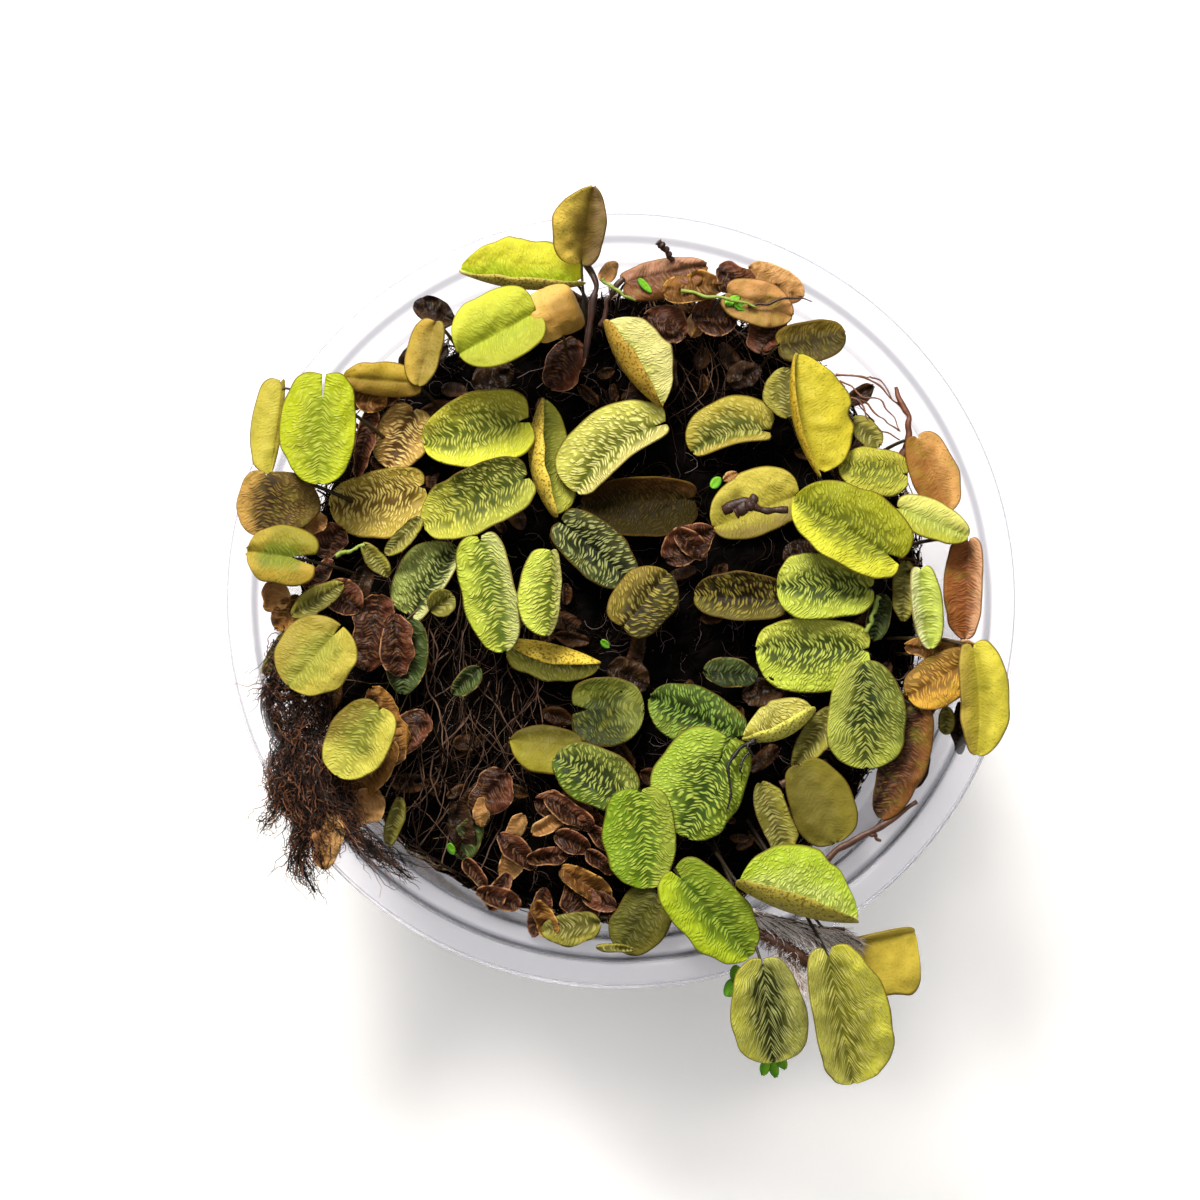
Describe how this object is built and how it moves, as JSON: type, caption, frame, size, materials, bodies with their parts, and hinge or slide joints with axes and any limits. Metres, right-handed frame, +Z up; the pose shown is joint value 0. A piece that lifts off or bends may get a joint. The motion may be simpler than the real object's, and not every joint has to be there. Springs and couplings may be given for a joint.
{
  "type": "tub of water spangles",
  "caption": "Tangled clump of small floating fern leaves, green to brown, over a dark root mass in a low round clear plastic tub.",
  "frame": {"origin": "centre of the tub's flat underside, on the tub's axis", "axes": "+Z up along the tub's axis; -Y towards the viewer, +X to the viewer's right"},
  "size_m": [0.117, 0.1308, 0.0552],
  "materials": {
    "clear_plastic": "clear, moulded, smooth",
    "leaf_lime": "living leaf, satin, fine pale hairs in rows",
    "leaf_green": "living leaf, ribbed rows of pale hairs",
    "leaf_deep_green": "living leaf, deep green with pale wavy rows of hairs",
    "leaf_yellow": "ageing leaf, yellow, satin",
    "leaf_olive": "leaf underside or old leaf, olive, speckled",
    "leaf_tan": "dead leaf, dry, golden tan",
    "leaf_brown": "dead leaf, wet, dark brown",
    "roots": "dense tangle of near-black fibres",
    "stem": "pale hairy rhizome",
    "dry_stem": "dark dry stem"
  },
  "bodies": {
    "root": {"tub": "clear_plastic", "root_mass": "roots", "root_tuft": "roots", "rhizome_front": "stem", "twig_front": "dry_stem", "strand_back": "dry_stem", "leaf_70": "leaf_brown", "leaf_08": "leaf_yellow", "leaf_13": "leaf_tan", "leaf_09": "leaf_tan", "leaf_31": "leaf_olive", "leaf_34": "leaf_olive", "leaf_41": "leaf_green", "leaf_43": "leaf_brown", "leaf_61": "leaf_olive", "leaf_64": "leaf_brown", "leaf_29": "leaf_green", "leaf_12": "leaf_olive", "leaf_17": "leaf_yellow", "leaf_44": "leaf_brown", "leaf_49": "leaf_tan", "leaf_25": "leaf_deep_green", "leaf_28": "leaf_deep_green", "leaf_32": "leaf_deep_green", "leaf_56": "leaf_deep_green", "leaf_57": "leaf_yellow", "leaf_53": "leaf_green", "leaf_55": "leaf_deep_green", "leaf_33": "leaf_olive", "leaf_10": "leaf_lime", "leaf_14": "leaf_yellow", "leaf_07": "leaf_lime", "leaf_11": "leaf_green", "leaf_02": "leaf_lime", "leaf_04": "leaf_tan", "leaf_03": "leaf_lime", "leaf_01": "leaf_olive", "leaf_26": "leaf_lime", "leaf_27": "leaf_lime", "leaf_35": "leaf_olive", "leaf_37": "leaf_yellow", "leaf_38": "leaf_yellow", "leaf_30": "leaf_lime", "leaf_39": "leaf_lime", "leaf_42": "leaf_green", "leaf_48": "leaf_lime", "leaf_46": "leaf_green", "leaf_45": "leaf_green", "leaf_47": "leaf_green", "leaf_40": "leaf_lime", "leaf_50": "leaf_yellow", "leaf_51": "leaf_yellow", "leaf_54": "leaf_green", "leaf_58": "leaf_green", "leaf_59": "leaf_green", "leaf_60": "leaf_lime", "leaf_65": "leaf_green", "leaf_66": "leaf_yellow", "leaf_19": "leaf_yellow"}
  },
  "joints": []
}
